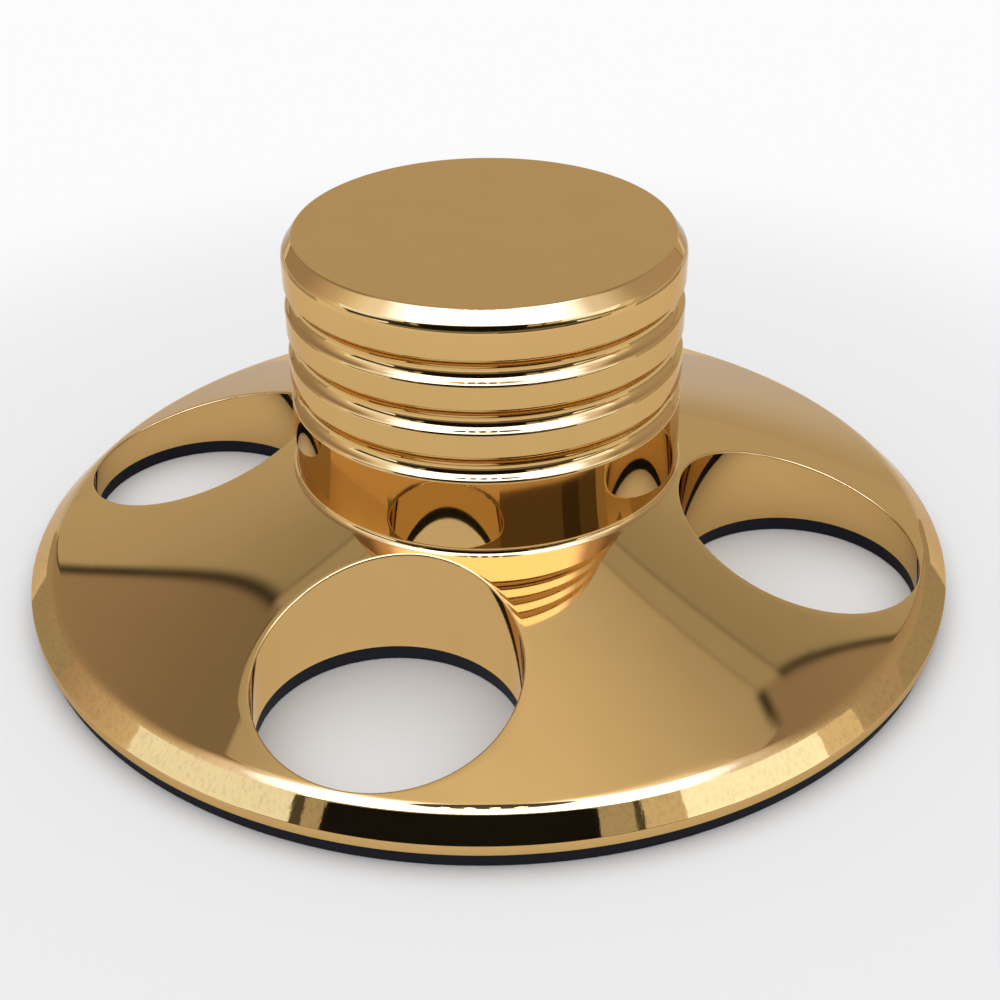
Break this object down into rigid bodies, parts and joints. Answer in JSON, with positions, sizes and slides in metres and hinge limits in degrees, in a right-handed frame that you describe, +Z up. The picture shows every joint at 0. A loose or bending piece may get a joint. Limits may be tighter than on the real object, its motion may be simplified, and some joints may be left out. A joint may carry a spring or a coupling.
{
  "type": "record weight clamp",
  "caption": "Turned gold record weight: a grooved knob on a conical skirt with round through holes, bored for a turntable spindle, on a thin black pad.",
  "frame": {"origin": "middle of the pad's underside, on the spindle axis", "axes": "+Z up along the spindle axis, +X and +Y through the middles of two neighbouring skirt holes"},
  "size_m": [0.0986, 0.0986, 0.0386],
  "materials": {
    "polished_gold": "mirror polished, gold coloured",
    "black_pad": "matte"
  },
  "bodies": {
    "root": {"weight_body": "polished_gold", "record_pad": "black_pad"}
  },
  "joints": []
}
